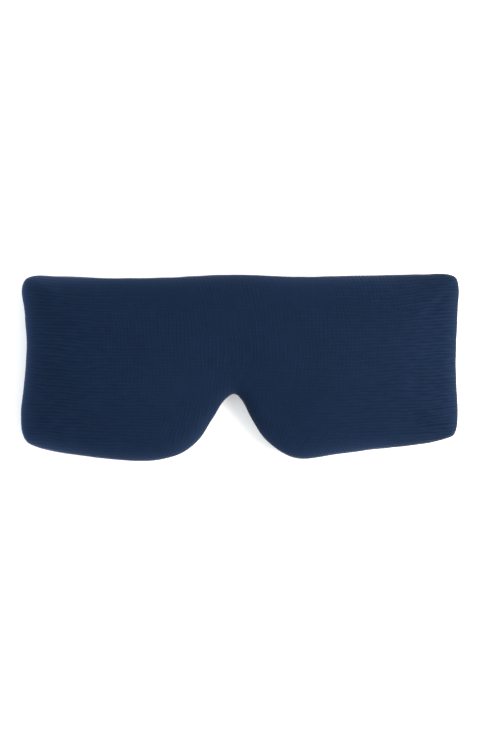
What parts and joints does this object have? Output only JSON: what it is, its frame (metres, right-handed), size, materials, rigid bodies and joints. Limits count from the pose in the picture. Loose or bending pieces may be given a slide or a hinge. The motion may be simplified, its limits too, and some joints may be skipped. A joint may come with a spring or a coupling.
{
  "type": "sleep eye mask",
  "caption": "Padded fabric sleep mask with a nose notch and two elastic strap halves, closed by hook and loop tape, folded flat behind it.",
  "frame": {"origin": "middle of the bounding box's underside: on the surface that the mask lies on, under the middle of the pad", "axes": "+X to the right as seen from the front, +Y towards the brow edge, +Z out of the mask's front"},
  "size_m": [0.2147, 0.092, 0.0199],
  "materials": {
    "cover_knit": "matte fine rib knit with a soft, slightly brushed face",
    "back_knit": "matte fine knit",
    "liner_cloth": "matte close-woven lining",
    "foam": "open-cell foam, matte",
    "fibre": "loose fibre wadding, matte",
    "thread": "matte sewing thread",
    "elastic": "matte woven elastic with fine lengthwise ribs",
    "loop_pile": "brushed loop pile",
    "hook_plastic": "fine moulded hooks on a woven ground",
    "binding_tape": "matte grosgrain tape",
    "label_satin": "satin-woven tape, blank"
  },
  "bodies": {
    "mask": {"front_cover": "cover_knit", "back_cover": "back_knit", "seam_thread": "thread", "blackout_liner": "liner_cloth", "foam_core": "foam", "fibre_wadding": "fibre", "care_label": "label_satin", "strap_left_anchor": "elastic", "anchor_stitching_left": "thread", "strap_right_anchor": "elastic", "anchor_stitching_right": "thread"},
    "strap_left_inner": {"strap_left_inner_run": "elastic"},
    "strap_left_outer": {"strap_left_outer_run": "elastic", "loop_tape": "loop_pile", "loop_tape_stitching": "thread", "end_binding_left": "binding_tape"},
    "strap_right_inner": {"strap_right_inner_run": "elastic"},
    "strap_right_outer": {"strap_right_outer_run": "elastic", "hook_tape": "hook_plastic", "hook_tape_stitching": "thread", "end_binding_right": "binding_tape"}
  },
  "joints": [
    {"name": "left_root_fold", "type": "hinge", "parent": "mask", "child": "strap_left_inner", "pos_m": [-0.103, 0.006, 0.00495], "axis": [0, 1, 0], "range_deg": [0, 178]},
    {"name": "left_mid_fold", "type": "hinge", "parent": "strap_left_inner", "child": "strap_left_outer", "pos_m": [-0.02, 0.006, 0.00225], "axis": [0, -1, 0], "range_deg": [0, 178]},
    {"name": "right_root_fold", "type": "hinge", "parent": "mask", "child": "strap_right_inner", "pos_m": [0.103, 0.006, 0.00495], "axis": [0, -1, 0], "range_deg": [0, 178]},
    {"name": "right_mid_fold", "type": "hinge", "parent": "strap_right_inner", "child": "strap_right_outer", "pos_m": [0.02, 0.006, 0.0028], "axis": [0, 1, 0], "range_deg": [0, 178]}
  ],
  "couplings": [
    {"joint": "left_mid_fold", "follows": "left_root_fold", "ratio": 1},
    {"joint": "right_mid_fold", "follows": "right_root_fold", "ratio": 1}
  ]
}
